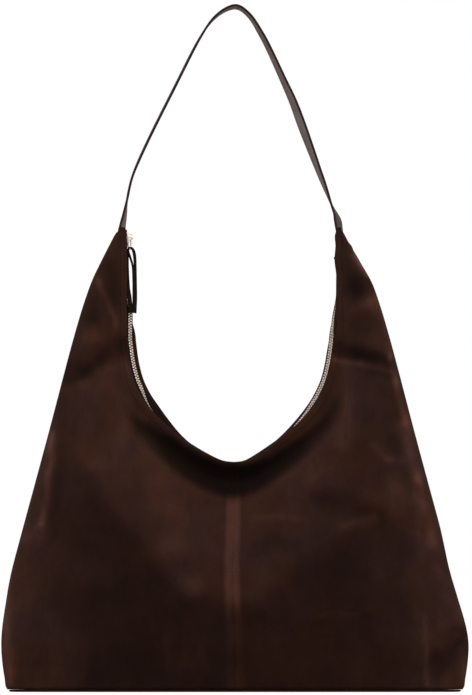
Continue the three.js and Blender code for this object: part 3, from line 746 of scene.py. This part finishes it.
def hollow_shade(x, z, face):
    """How much painted shade lies in the hollow below the opening's rolled edge, with a broad painted
    shadow below the lip in the middle. The hollow starts closer to the edge in the middle, and ends further
    from it there."""
    s = edge_distance(x, z)
    across = np.abs(x)
    start_left = 0.08 * across + 0.2 * np.maximum(across - 60, 0)
    start_right = 0.22 * np.minimum(across, 38) + 0.06 * np.maximum(across - 38, 0)
    start = 0.5 + np.where(x > 0, start_right, start_left)
    end = 36 - 0.115 * across
    inside = smoothstep(start - 1, start + 9, s) * smoothstep(end + 9, end - 9, s)
    depth = 2.4 + 0.035 * np.minimum(s, 30) - 0.014 * across - 0.5 * smoothstep(50, 95, across)
    share = 1.0 if face == FRONT else 0.4
    return share * depth * edge_roll_share(x, z) * inside + 0.4 * bell(x, 6, 42) * bell(s, 22, 10)


def seam_painted_light(x, z):
    """How much painted light lies on the band over the centre seam, most of all in its upper part."""
    band = np.exp(-((x / SEAM_BAND) ** 6))
    upper = 0.85 * smoothstep(214, 180, z) * smoothstep(66, 92, z)
    return band * (upper + 0.28 * smoothstep(92, 66, z))


def nap_tone_and_painted_light(x, z, face):
    """How light the suede is painted: 1 plain, less where it is darker. It holds random nap tone and
    brushed marks, and painted light and shade.
    """
    tone = 0.16 * fractal(x, z, 46, 5.0 + face, 4) - hollow_shade(x, z, face) + seam_painted_light(x, z)
    # Painted shade below the swag, where the suede falls back from the light, and a small darkening
    # overall.
    tone -= 0.05 + 0.5 * (1 - swag_share(x, z)) * smoothstep(205, 120, np.abs(x))
    # Painted shadow at the tops of the peaks, where the strap goes into them.
    tone -= 0.9 * smoothstep(PEAK_Z - 8, PEAK_Z, z)
    if face == FRONT:
        for px, pz, width, height, amount in NAP_AND_PAINTED_LIGHT_PATCHES:
            tone += amount * bell(x, px, width) * bell(z, pz, height)
        wander = 3.0 * fractal(x, z, 26, 61.0, 2)
        broken = 1 + 0.5 * fractal(x, z, 15, 83.0, 2)
        for a, b, width, amount in NAP_AND_PAINTED_LIGHT_STROKES:
            distance, _ = segment_distance(x + wander, z - wander, a, b)
            tone += amount * broken * bell(distance, 0, width)
    return np.exp(tone)


def paint(piece, values):
    # The nap attribute holds nap tone together with painted light and shade.
    attribute = piece.data.attributes.new("nap", "FLOAT", "POINT")
    attribute.data.foreach_set("value", np.asarray(values, np.float32))


def body_places(piece):
    """Each point's x from the body's middle, y and z."""
    co = np.zeros(len(piece.data.vertices) * 3)
    piece.data.vertices.foreach_get("co", co)
    x, y, z = co.reshape(-1, 3).T / MM
    return x - settle(x - lean(z), z), y, z


def paint_nap_tone_and_light(piece, face):
    # Paints the nap tone with its painted light and shade; points inside the opening get one plain tone.
    x, y, z = body_places(piece)
    values = nap_tone_and_painted_light(x, z, face)
    inside = (y * face < LIP_DEPTH - 3) & (edge_distance(x, z) > 1.5) & (outline_x(z) - np.abs(x) > 12)
    values[inside] = 0.85
    paint(piece, values)


FACES = (("front", FRONT), ("back", BACK))
SIDES = (("left", -1), ("right", 1))


def build_panels():
    for word, face in FACES:
        for side_word, side in SIDES:
            node = f"{word}_panel_{side_word}"
            piece = outer_panel(f"suede_{node}", side, face)
            take_place(piece, "suede", "bag", node, f"rim_facing_{word}")


# ---------- Linings, pocket and base ----------


def lining_piece(name, face):
    """A loose lining that follows the suede from inside."""
    x, z, _ = half_places(30, 30, 26, BASE_TOP_Z + 6, LINING_TOP_Z, FACING_REACH - 8)
    halves = []
    for side in (-1, 1):
        xs = x * side * (1 - LINING_INSET / outline_x(z))
        depth = np.maximum(skin_depth(xs, z, face) - LINING_INSET, 0.4)
        places = np.dstack([xs + settle(xs, z), face * depth, z - droop(xs, z)])
        halves.append((places.reshape(-1, 3), net_faces(*x.shape)))
    piece = make_piece(name, *joined(halves), LINING_CLOTH, merge=0.02)
    return thicken(face_outwards(piece), LINING_THICKNESS)


def pocket_piece():
    half = POCKET_HALF_WIDTH
    x, z = np.meshgrid(np.linspace(-half, half, 48), np.linspace(*POCKET_Z, 28))
    sag = 1.6 * np.cos(math.pi * x / (2 * half)) * smoothstep(110, POCKET_Z[1], z)
    depth = skin_depth(x, z, BACK) - POCKET_INSET - sag
    points = np.dstack([x + settle(x, z), depth, z]).reshape(-1, 3)
    piece = make_piece("lining_slip_pocket", points, net_faces(*x.shape), LINING_CLOTH)
    return thicken(piece, POCKET_THICKNESS)


def base_piece():
    """The suede base: its edge is turned up a little and its middle has soft dents."""
    turns = np.linspace(0, 2 * math.pi, 220, endpoint=False)
    rings = [(1.0, BASE_TOP_Z), (1.002, 1.3), (0.999, 0.5), (0.993, 0.08), (0.985, 0.0)]
    rings += [(r, 0.0) for r in np.linspace(0.95, 0.0, 24)]
    power = 2 / SQUARENESS[0, 1]
    points = []
    for r, z in rings:
        c, s = np.cos(turns), np.sin(turns)
        x = r * BASE_HALF_WIDTH * np.sign(c) * np.abs(c) ** power
        y = r * BASE_HALF_DEPTH * np.sign(s) * np.abs(s) ** power
        dent = np.maximum(fractal(x, y, 55, 21.0, 3), 0) * 0.7 * (r < 0.96)
        points.append(np.column_stack([x, y, z + dent]))
    points = np.vstack(points)
    faces = net_faces(len(rings), len(turns), wrap=True)
    piece = make_piece("suede_base_panel", points, faces, SUEDE, merge=0.01)
    face_outwards(piece)
    paint(piece, np.full(len(piece.data.vertices), 0.7))
    return thicken(piece, BASE_SHEET, -1.0)


def build_inside():
    for word, face in FACES:
        take_place(lining_piece(f"lining_cloth_{word}", face), "lining", "bag", f"lining_{word}")
    take_place(pocket_piece(), "lining", "bag", "inner_pocket")
    take_place(base_piece(), "suede", "bag", "base_panel")


# ---------- Zip ----------


def zip_line(step):
    """Places along the zip from the left peak to the right one, with the directions across, up from
    and along the chain, and how far it is turned towards the viewer."""
    right, inwards_right, _ = edge_run(500, ZIP_END_Z)
    left, inwards_left, _ = edge_run(500, ZIP_TOP_Z - 3)
    mirror = np.array([-1, 1])
    place = np.vstack([left[::-1] * mirror, right[1:]])
    inwards = np.vstack([inwards_left[::-1] * mirror, inwards_right[1:]])
    side = np.where(place[:, 0] < 0, -1, 1)
    show = np.where(side < 0, *(shown_share(place[:, 1], s) for s in (-1, 1)))
    rise = -CHAIN_RECESS + (CHAIN_SHOW + CHAIN_RECESS) * show
    centre = place + inwards * rise[:, None]
    centre += np.column_stack([settle(*centre.T), -droop(*centre.T)])
    along = np.concatenate([[0], np.cumsum(np.hypot(*np.diff(centre, axis=0).T))])
    count = int(along[-1] / step)
    share = (np.arange(count) + 0.5) * step
    read = lambda values: np.interp(share, along, values)
    centre = np.column_stack([read(centre[:, 0]), np.zeros(count), read(centre[:, 1])])
    inwards = unit(np.column_stack([read(inwards[:, 0]), np.zeros(count), read(inwards[:, 1])]))
    tilt = read(show) * CHAIN_TILT
    across = np.column_stack([np.sin(tilt)] * 3) * inwards
    across[:, 1] = np.cos(tilt)
    up = np.column_stack([np.cos(tilt)] * 3) * inwards
    up[:, 1] = -np.sin(tilt)
    run = np.cross(across, up)
    return centre, across, up, run, read(show)


def shown_share(z, side):
    top = smoothstep(SHOW_TOP_Z[side], SHOW_FULL_Z[side], z)
    return top * smoothstep(SHOW_END_Z[side] - 14, SHOW_END_Z[side] + 16, z)


def tooth_template():
    """One tooth, pointing to +u: a rounded jaw with a knuckle at its tip and a waist."""
    bm = bmesh.new()
    bmesh.ops.create_cube(bm, size=1.0)
    for v in bm.verts:
        v.co.x = 0.35 if v.co.x < 0 else 3.05
        v.co.y *= 1.95
        v.co.z *= 2.5 if v.co.x < 1 else 2.2
    corners = bm.edges[:] + bm.verts[:]
    bmesh.ops.bevel(bm, geom=corners, offset=0.35, segments=2, profile=0.6, affect="EDGES")
    return mesh_parts(bm)


def teeth_piece(name, face):
    centre, across, up, run, _ = zip_line(TOOTH_PITCH / 2)
    template, faces = tooth_template()
    teeth = []
    first = 0 if face == FRONT else 1
    for i in range(first, len(centre), 2):
        directions = np.array([face * across[i], run[i], up[i]])
        teeth.append((centre[i] + template @ directions, faces))
    return face_outwards(make_piece(name, *joined(teeth), CHAIN_METAL))


def tape_piece(name, face):
    """The zip's tape: a cord beside the teeth, then flat cloth that disappears under the edge."""
    centre, across, up, _, show = zip_line(3.0)
    side = np.where(centre[:, 0] < lean(400), -1, 1)
    inwards = across * np.sin(show * CHAIN_TILT)[:, None] + up * np.cos(show * CHAIN_TILT)[:, None]
    rise = -CHAIN_RECESS + (CHAIN_SHOW + CHAIN_RECESS) * show
    lift = np.zeros(len(centre))
    if face == BACK:
        for s in (-1, 1):
            lift = np.where(side == s, back_lift(centre[:, 2], s), lift)
    rings = []
    for u, v in ((2.3, 0.5), (2.9, 1.0), (3.6, 0.9), (3.9, 0.2)):
        rings.append(centre + across * (face * u) + up * v)
    for out, q in ((5.2, 3.0), (5.6, 8.0)):
        level = inwards * (-rise - q + lift)[:, None]
        rings.append(centre + level + np.array([0, face * out, 0]))
    points = np.array(rings).transpose(1, 0, 2)
    piece = make_piece(name, points.reshape(-1, 3), net_faces(*points.shape[:2]), TAPE_CLOTH)
    return thicken(piece, TAPE_THICKNESS)


def build_zip():
    for word, face in FACES:
        take_place(teeth_piece(f"zip_metal_teeth_{word}", face), "zip_teeth", "bag", f"zip_teeth_{word}")
        take_place(tape_piece(f"zip_cloth_tape_{word}", face), "zip_tape", "bag", f"zip_tape_{word}")


# ---------- Slider and pull ----------


def add_block(bm, centre, size, bevel):
    made = bmesh.ops.create_cube(bm, size=1.0)["verts"]
    for v in made:
        v.co = Vector(centre) + Vector(v.co[k] * size[k] for k in range(3))
    edges = list({e for v in made for e in v.link_edges})
    bmesh.ops.bevel(bm, geom=edges, offset=bevel, segments=3, profile=0.5, affect="EDGES")


def tube(path, radius, turns=12, squash=1.0, count=60):
    """A round or flattened wire along a smooth path."""
    places = spline(path, count)
    run = unit(np.gradient(places, axis=0))
    across = unit(np.cross(run, (0.0, 0.35, 0.94)))
    up = np.cross(run, across)
    angles = np.linspace(0, 2 * math.pi, turns, endpoint=False)
    profile = [(radius * squash * math.cos(k), radius * math.sin(k)) for k in angles]
    return swept(places, across, up, profile)


def turned(centre, rings, steps=28):
    """A shape turned about the Y axis: rings are (y, radius), front first."""
    turns = np.linspace(0, 2 * math.pi, steps, endpoint=False)
    round_y = np.column_stack([np.cos(turns), 0 * turns, np.sin(turns)])
    points = [(centre[0], y, centre[2]) + radius * round_y for y, radius in rings]
    return np.vstack(points), closed_tube(len(rings), steps)


def joined(parts):
    """Several point and face lists as one."""
    points, faces = [], []
    start = 0
    for part_points, part_faces in parts:
        points.append(part_points)
        faces += [tuple(start + k for k in f) for f in part_faces]
        start += len(part_points)
    return np.vstack(points), faces


STRAIGHT_CHAIN_X = LEAN_X - RIM_HALF_WIDTH - CHAIN_RECESS
SLIDER_Z = (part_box("zip_slider")[0].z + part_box("zip_slider")[1].z) / 2 / MM
PIVOT = (STRAIGHT_CHAIN_X + 4.7, 0.0, SLIDER_Z)
BAR_Z = SLIDER_Z - 11  # the bail's lower bar
LUG_RADIUS = 3.4
WIRE_RADIUS = 0.68


def slider_piece():
    """The zip slider: two shield-shaped plates joined by a post, with a round lug on top."""
    bm = bmesh.new()
    for direction in (-1, 1):
        add_block(bm, (STRAIGHT_CHAIN_X + direction * 2.45, 0, SLIDER_Z), (1.15, 9.0, 10.6), 0.5)
        flange_x = STRAIGHT_CHAIN_X + direction * 1.5
        for edge in (-1, 1):
            add_block(bm, (flange_x, edge * 4.05, SLIDER_Z), (1.5, 0.8, 10.2), 0.3)
    add_block(bm, (STRAIGHT_CHAIN_X, 0, SLIDER_Z + 4.2), (5.6, 0.5, 2.2), 0.15)
    r = LUG_RADIUS
    dome = [(-2.3, 0.6), (-2.2, r - 1.8), (-1.8, r - 0.9), (-1.2, r - 0.25), (-0.5, r)]
    lug = turned((PIVOT[0] - 0.7, 0, SLIDER_Z + 0.8), dome + [(-y, radius) for y, radius in dome[::-1]])
    return face_outwards(make_piece("zip_slider_body", *joined([mesh_parts(bm), lug]), GOLD_METAL))


def bail_piece():
    """The wire link between slider and pull: a pin through the lug and a bent loop below it."""
    x, _, z = PIVOT
    pin = turned((x - 0.4, 0, z - 1.6), [(-2.9, 0.4), (-2.8, 0.8), (2.8, 0.8), (2.9, 0.4)], 16)
    loop = tube(PIVOT + np.array([
        (-0.4, -2.6, -1.4), (-1.3, -2.7, -3.0), (-2.0, -2.6, -6), (-1.9, -2.2, -9), (-1.1, -1.2, -10.6),
        (0.2, 0.4, -11), (0.9, 1.8, -10), (0.6, 2.5, -7), (0.3, 2.7, -3.4), (-0.4, 2.6, -1.4),
    ]), WIRE_RADIUS, squash=1.25)
    return face_outwards(make_piece("zip_pull_bail_wire", *joined([pin, loop]), GOLD_METAL))


def leather_strand(path, half_width, thickness=0.6):
    """One strand of the pull. Its places are x, y and z from the bail's lower bar, and the strip's
    turn about its length."""
    line = spline(path, 90)
    places = line[:, :3] + (PIVOT[0], 0, BAR_Z)
    run = unit(np.gradient(places, axis=0))
    turn = np.radians(line[:, 3])[:, None]
    depth = unit(np.array([0.0, 1.0, 0.0]) - run * run[:, 1:2])
    sideways = np.cross(run, depth)
    across = depth * np.cos(turn) + sideways * np.sin(turn)
    return swept(places, across, np.cross(run, across), rounded_profile(half_width, thickness, 0.35))


def thong_piece():
    """The leather pull: a strip looped over the bail, its left tail straight, its right one doubled."""
    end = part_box("zip_pull_thong")[0].z / MM - BAR_Z
    loop = leather_strand([
        (0.2, -7.4, end - 0.6, -80), (0, -7.4, end + 7, -80), (-1.0, -7.1, end + 16, -72),
        (-2.3, -6.5, end + 25, -55), (-2.9, -5.4, -24, -38), (-3.0, -2.6, -10, -24), (-2.4, -0.6, -2, -8),
        (-1.4, -0.2, 0.8, 0), (0, 0.2, 1.5, 10), (1.6, 0.4, 0.6, 24), (3.2, 0.6, -2.6, 34),
        (4.2, 0.8, -8, 34), (4.7, 0.4, -18, 28), (5.1, -0.6, -34, 26), (5.4, -1.4, -48, 24),
        (5.2, -1.8, -58, 20), (5.0, -2.0, end - 0.4, 18),
    ], 2.2)
    doubled = leather_strand([
        (-0.4, -1.4, 1.6, 10), (-2.2, -1.8, -1.4, 20), (-0.6, -2.0, -7.5, 26), (2.0, -3.4, -16, 24),
        (3.0, -4.7, -24, 32), (3.4, -5.5, -38, 34), (3.4, -6.2, -50, 32), (3.4, -6.5, end - 0.6, 28),
    ], 1.7)
    return face_outwards(make_piece("zip_pull_leather", *joined([loop, doubled]), PULL_LEATHER))


def build_pull():
    take_place(slider_piece(), "gold_metal", "slider", "zip_slider")
    take_place(bail_piece(), "gold_metal", "bail", "zip_pull_bail")
    take_place(thong_piece(), "strap_leather", "pull", "zip_pull_thong")


# ---------- Strap ----------
# The strap's middle line from deep in the left peak to deep in the right one: x, z, and how far
# the front edge is turned outwards there, in degrees.
STRAP_LINE = [
    (-114, 440, 18), (-113.4, 455, 16), (-112.2, 464, 11), (-110, 476, 5), (-107.6, 491, -3),
    (-103.2, 511, -4), (-95.4, 531, -6), (-81.4, 561, -6.5), (-60, 604, -6.5), (-36.5, 650.5, -6),
    (-20, 674, -3), (-0.5, 684.5, 1), (14, 676, 3), (26, 657.5, 7), (35, 640, 8.5), (48.4, 610.5, 11),
    (58, 589, 15), (66.5, 566, 17.5), (77.5, 536, 13), (83, 521, 9.5), (88.7, 506, 6), (93.6, 493, 0),
    (97.2, 483, -5), (100.4, 476, -11), (102.6, 469, -19), (104, 460, -18), (105, 453, -16),
    (105.5, 440, -16),
]
STRAP_STEPS = 240


def strap_frame():
    """Places along the strap, with the directions across its width and outwards."""
    line = spline(STRAP_LINE, STRAP_STEPS)
    places = np.column_stack([line[:, 0], 0 * line[:, 0], line[:, 1]])
    run = unit(np.gradient(places, axis=0))
    out = np.column_stack([-run[:, 2], 0 * run[:, 0], run[:, 0]])
    turn = np.radians(line[:, 2])[:, None]
    width = np.array([[0.0, -1.0, 0.0]]) * np.cos(turn) + out * np.sin(turn)
    outward = np.cross(width, run)
    outward *= np.sign((outward * out).sum(axis=1))[:, None]
    return places, width, outward


def strap_layer(name, middle, material):
    places, width, outward = strap_frame()
    profile = rounded_profile(STRAP_HALF_WIDTH - 0.5, STRAP_LAYER / 2, 0.45)
    layer = swept(places + outward * middle, width, outward, profile)
    return face_outwards(make_piece(name, *layer, material))


def strap_edges():
    """The painted edges: a rounded bead along each side of the two layers."""
    places, width, outward = strap_frame()
    turns = np.linspace(0, 2 * math.pi, 14, endpoint=False)
    bead = [(0.8 * math.cos(a), 1.15 * math.sin(a)) for a in turns]
    reach = STRAP_HALF_WIDTH - 0.6
    beads = [swept(places + width * side * reach, width, outward, bead) for side in (-1, 1)]
    return face_outwards(make_piece("strap_painted_edges", *joined(beads), EDGE_PAINT))


def build_strap():
    outer = strap_layer("strap_leather_outer", STRAP_LAYER / 2 + 0.05, STRAP_LEATHER)
    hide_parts("strap_outer_layer", "strap_end_left", "strap_end_right")
    backing = strap_layer("strap_leather_backing", -STRAP_LAYER / 2 - 0.05, BACKING_LEATHER)
    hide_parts("strap_backing_layer")
    for piece in (outer, backing, strap_edges()):
        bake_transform(piece)


# ---------- Stitching on the body ----------


def stitch(a, b, face, radius):
    """One short rounded stitch from a to b, bowed away from the material."""
    lift = np.array([0.0, face, 0.0])
    run = (b - a) / np.linalg.norm(b - a)
    first = np.cross(run, lift)
    turns = np.linspace(0, 2 * math.pi, 6, endpoint=False)[:, None]
    rings = []
    for t in np.linspace(0, 1, 5):
        bow = math.sin(math.pi * t)
        middle = a + (b - a) * t + lift * (radius * 1.1 * bow - 0.1)
        rings.append(middle + radius * (0.55 + 0.45 * bow) * (np.cos(turns) * first + np.sin(turns) * lift))
    return np.vstack(rings), closed_tube(5, 6)


def stitches_along(line, into, side, face, pitch, length, radius):
    """Stitches along a line of (x, z) on the suede."""
    along = np.concatenate([[0], np.cumsum(np.hypot(*np.diff(line, axis=0).T))])
    places = hang(side * line[:, 0], line[:, 1], side, face, into, proud=0.05)

    def at(distance):
        return np.array([np.interp(distance, along, places[:, k]) for k in range(3)])

    starts = np.arange(0, along[-1] - length, pitch)
    return [stitch(at(start), at(start + length), face, radius) for start in starts]


def stitch_piece(name, stitches, shade):
    piece = face_outwards(make_piece(name, *joined(stitches), THREAD))
    # The stitches take the suede's nap tone and painted light and shade at their places, times shade.
    x, y, z = body_places(piece)
    values = np.where(y < 0, nap_tone_and_painted_light(x, z, FRONT), nap_tone_and_painted_light(x, z, BACK))
    paint(piece, shade * values)
    return piece


def seam_stitching():
    """Two rows of topstitching on the centre seam's welt, front and back."""
    z = np.linspace(7, RIM_LOW_Z - 6, 120)
    line = np.column_stack([np.full(z.shape, SEAM_ROW_X), z])
    stitches = []
    for _, face in FACES:
        for _, side in SIDES:
            stitches += stitches_along(line, 0 * line, side, face, 3.6, 2.5, 0.36)
    return stitch_piece("centre_seam_stitching", stitches, 1.0)


def edge_stitching():
    """A row of topstitching that holds the zip, beside the whole edge of the opening."""
    line, inwards, _ = edge_run(260, PEAK_Z - 9, EDGE_ROW_DEPTH)
    stitches = []
    for _, face in FACES:
        for _, side in SIDES:
            stitches += stitches_along(line, inwards, side, face, 3.8, 2.7, 0.3)
    return stitch_piece("opening_edge_stitching", stitches, 0.6)


def build_stitching():
    take_place(seam_stitching(), "suede", "bag")
    take_place(edge_stitching(), "suede", "bag")


# ---------- CAD nodes that stay ----------


def dress_cad_nodes():
    stops = ("zip_top_stop_front", "zip_top_stop_back", "zip_bottom_stop")
    looks = {node: STOP_METAL for node in stops} | {"base_board": BOARD, "lining_base": LINING_CLOTH}
    for node, material in looks.items():
        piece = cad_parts[node]
        piece.data.materials.clear()
        piece.data.materials.append(material)
        if node in stops:
            add_modifier(piece, "BEVEL", width=0.25 * MM, segments=2, limit_method="ANGLE")


# ---------- Scene ----------


def floor_material():
    """White to the camera, a soft grey to everything else, so that it throws only a little light."""
    material = bpy.data.materials.new("stage_white")
    material.use_nodes = True
    tree = material.node_tree
    diffuse = tree.nodes["Principled BSDF"]
    diffuse.inputs["Base Color"].default_value = (0.45, 0.44, 0.43, 1)
    diffuse.inputs["Roughness"].default_value = 1.0
    white = tree.nodes.new("ShaderNodeEmission")
    white.inputs["Color"].default_value = (1, 1, 1, 1)
    share_seen(tree, diffuse.outputs[0], white.outputs[0])
    return material


def share_seen(tree, unseen, seen):
    """Uses one shader for what the camera sees directly and another for everything else."""
    path = tree.nodes.new("ShaderNodeLightPath")
    mix = tree.nodes.new("ShaderNodeMixShader")
    output = next(n for n in tree.nodes if n.type.startswith("OUTPUT"))
    tree.links.new(path.outputs["Is Camera Ray"], mix.inputs[0])
    tree.links.new(unseen, mix.inputs[1])
    tree.links.new(seen, mix.inputs[2])
    tree.links.new(mix.outputs[0], output.inputs["Surface"])


def build_floor():
    """A plain pale floor."""
    half = 6000.0
    corners = [(x, y, -0.5) for x, y in half * np.array([(-1, -1), (1, -1), (1, 1), (-1, 1)])]
    make_piece("studio_floor", corners, [(0, 1, 2, 3)], floor_material())


def area_light(name, place, target, size, power, glossy=True):
    data = bpy.data.lights.new(name, "AREA")
    data.shape = "RECTANGLE"
    data.size, data.size_y = size
    data.energy = power
    lamp = bpy.data.objects.new(name, data)
    bpy.context.scene.collection.objects.link(lamp)
    lamp.location = place
    lamp.rotation_euler = (Vector(target) - Vector(place)).to_track_quat("-Z", "Y").to_euler()
    lamp.visible_glossy = glossy


def build_lights():
    world = bpy.data.worlds.new("studio")
    bpy.context.scene.world = world
    world.use_nodes = True
    tree = world.node_tree
    room = tree.nodes["Background"]
    room.inputs["Color"].default_value = (1, 1, 1, 1)
    room.inputs["Strength"].default_value = 0.42
    seen = tree.nodes.new("ShaderNodeBackground")
    seen.inputs["Color"].default_value = (1, 1, 1, 1)
    share_seen(tree, room.outputs[0], seen.outputs[0])
    area_light("key", (-0.5, -1.9, 2.0), (0, 0, 0.25), (1.4, 1.0), 38)
    area_light("right_side", (1.7, -0.6, 1.0), (0.1, 0, 0.3), (0.8, 1.4), 14)
    area_light("left_side", (-1.7, -0.4, 0.8), (-0.1, 0, 0.3), (0.8, 1.2), 9)
    area_light("back", (0.3, 2.4, 0.5), (0, 0.1, 0.15), (1.6, 0.8), 16, glossy=False)


# The camera, in metres.
CAMERA_DISTANCE = 4.2
CAMERA_HEIGHT = 0.02
AIM_HEIGHT = 0.3419
FRAME_HEIGHT = 0.6925  # how much of the object's plane the picture's height covers


def build_camera():
    data = bpy.data.cameras.new("camera")
    camera = bpy.data.objects.new("camera", data)
    bpy.context.scene.collection.objects.link(camera)
    camera.location = (0.001, -CAMERA_DISTANCE, CAMERA_HEIGHT)
    rise = AIM_HEIGHT - CAMERA_HEIGHT
    camera.rotation_euler = (math.pi / 2 + math.atan2(rise, CAMERA_DISTANCE), 0, 0)
    data.sensor_fit = "VERTICAL"
    data.sensor_height = 24.0
    data.lens = 24.0 * math.hypot(rise, CAMERA_DISTANCE) / FRAME_HEIGHT
    data.clip_end = 50
    bpy.context.scene.camera = camera


build_panels()
build_inside()
build_zip()
build_pull()
build_strap()
build_stitching()
dress_cad_nodes()
build_floor()
build_lights()
build_camera()
bpy.context.scene.view_settings.view_transform = "Standard"
